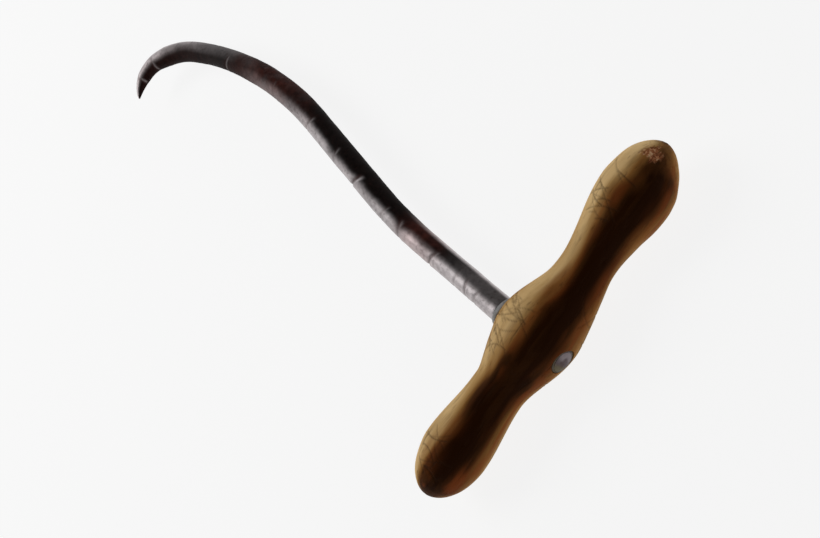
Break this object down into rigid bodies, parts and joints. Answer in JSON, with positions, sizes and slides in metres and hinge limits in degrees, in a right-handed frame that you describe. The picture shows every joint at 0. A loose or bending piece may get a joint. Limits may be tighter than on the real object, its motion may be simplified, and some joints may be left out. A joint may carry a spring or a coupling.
{
  "type": "hay hook",
  "caption": "Hand hook with a turned wooden cross handle and a forged round steel bar that bends over into an inturned point, for gripping bales, sacks and logs.",
  "frame": {"origin": "centre of the grip, where the axis of the tang crosses the axis of the handle", "axes": "+Y along the handle, the bar leaves toward -X and hooks over toward -Y, the peened end of the tang faces +X, +Z normal to the plane of the hook"},
  "size_m": [0.2721, 0.14, 0.0286],
  "materials": {
    "forged_steel": "forged bar, dark brown-black oxide with rust tints, rubbed bright along the palm side",
    "washer_steel": "plain steel, dulled, bright at the rubbed edges",
    "turned_wood": "oiled and handled wood, tan on the sides, dark with grime along the top, fine scratches"
  },
  "bodies": {
    "root": {"hook": "forged_steel", "front_washer": "washer_steel", "handle": "turned_wood", "rear_washer": "washer_steel"}
  },
  "joints": []
}
